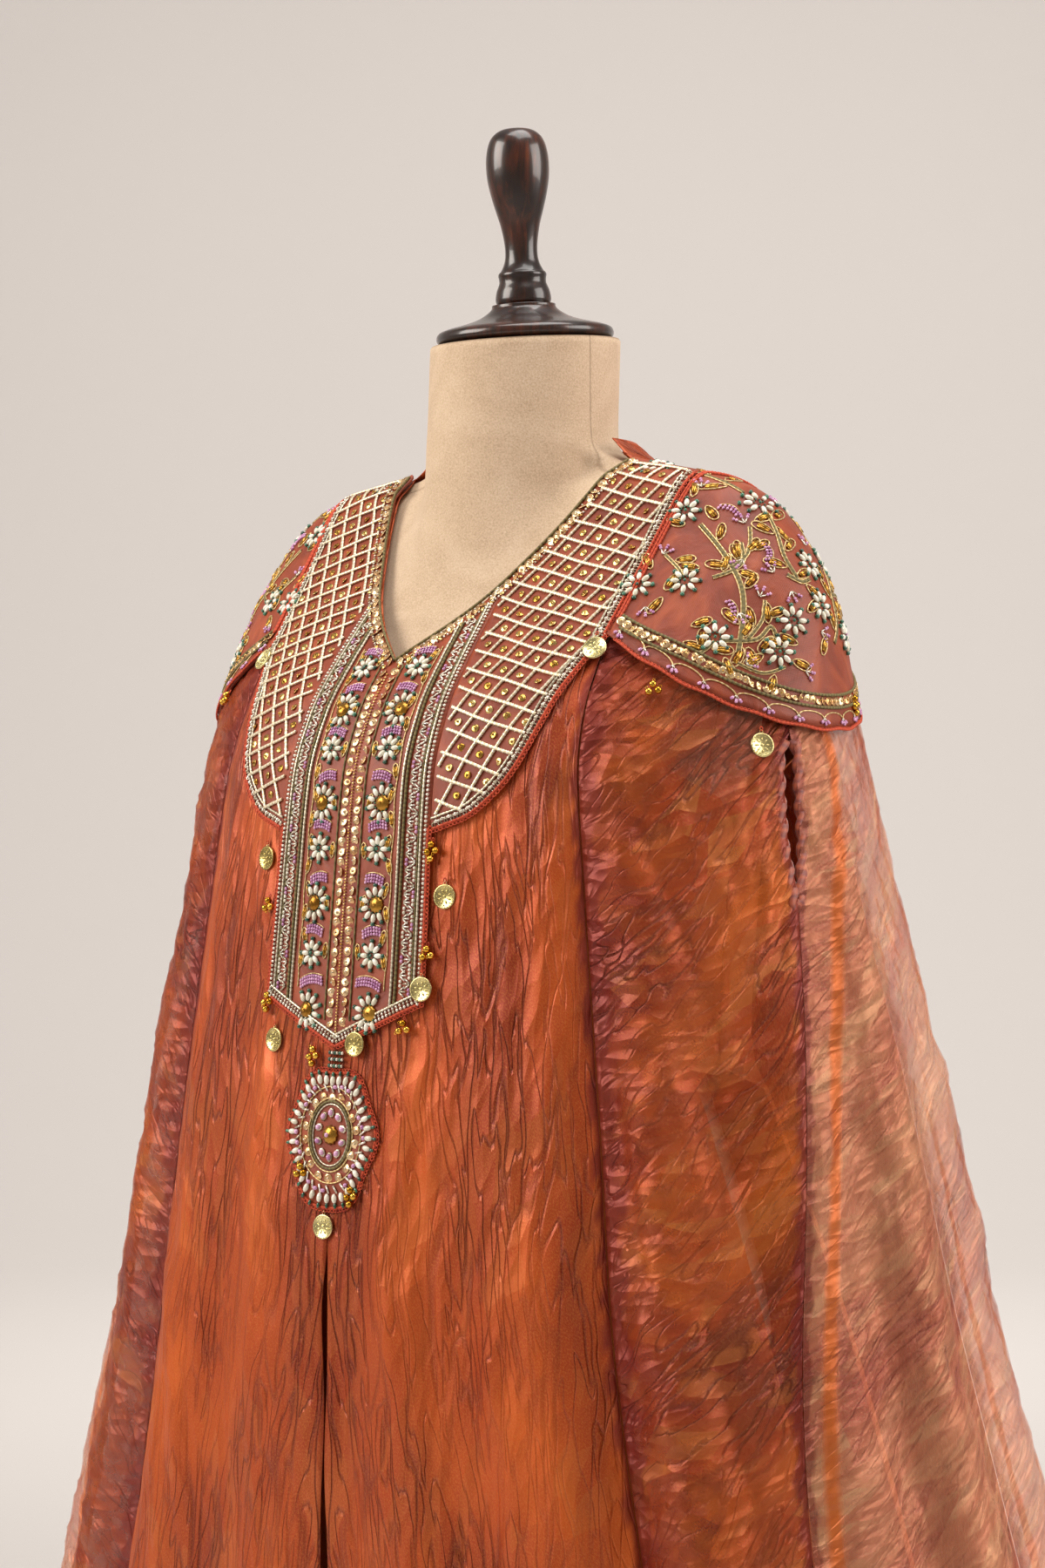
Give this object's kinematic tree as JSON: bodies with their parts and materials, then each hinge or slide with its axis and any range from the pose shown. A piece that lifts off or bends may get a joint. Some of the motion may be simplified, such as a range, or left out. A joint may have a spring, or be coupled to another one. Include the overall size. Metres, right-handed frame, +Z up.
{
  "type": "kaftan on dress form",
  "caption": "Loose sleeveless-cut kaftan with arm slits, embroidered yoke and shoulder caps, standing open and worn on a limbless dress form with a turned finial.",
  "frame": {"origin": "middle of the underside of the stand's round foot, on the floor", "axes": "+Z up, the garment's front faces -Y, the wearer's left is +X"},
  "size_m": [1.0411, 0.6324, 1.6349],
  "materials": {
    "stand_metal": "satin black",
    "suede": "beige suede cloth with a fine nap",
    "turned_wood": "dark gloss lacquer",
    "lined_organza": "crushed shot tissue organza over a lining",
    "sheer_organza": "crushed shot tissue organza, sheer",
    "lining": "plain woven lining",
    "yoke_cloth": "embroidered with cord, beads and sequins",
    "beadwork": "close beadwork and gilt cord on cloth",
    "gilt_metal": "pale gilt, struck with a plain pattern"
  },
  "bodies": {
    "root": {"stand_foot": "stand_metal", "stand_pole": "stand_metal", "form_body": "suede", "form_neck_cap": "turned_wood", "form_finial": "turned_wood", "front_left": "lined_organza", "front_right": "lined_organza", "back": "lined_organza", "side_panel_left": "sheer_organza", "side_panel_right": "sheer_organza", "sleeve_left": "sheer_organza", "sleeve_right": "sheer_organza", "lining_front": "lining", "lining_back": "lining", "shoulder_cap_left": "yoke_cloth", "shoulder_cap_right": "yoke_cloth", "yoke_left": "yoke_cloth", "yoke_right": "yoke_cloth", "placket": "yoke_cloth", "medallion": "beadwork", "coin_yoke_left": "gilt_metal", "coin_yoke_right": "gilt_metal", "coin_placket_a": "gilt_metal", "coin_placket_b": "gilt_metal", "coin_placket_c": "gilt_metal", "coin_placket_d": "gilt_metal", "coin_placket_e": "gilt_metal", "coin_slit": "gilt_metal", "coin_cap_left": "gilt_metal", "coin_cap_right": "gilt_metal"}
  },
  "joints": []
}
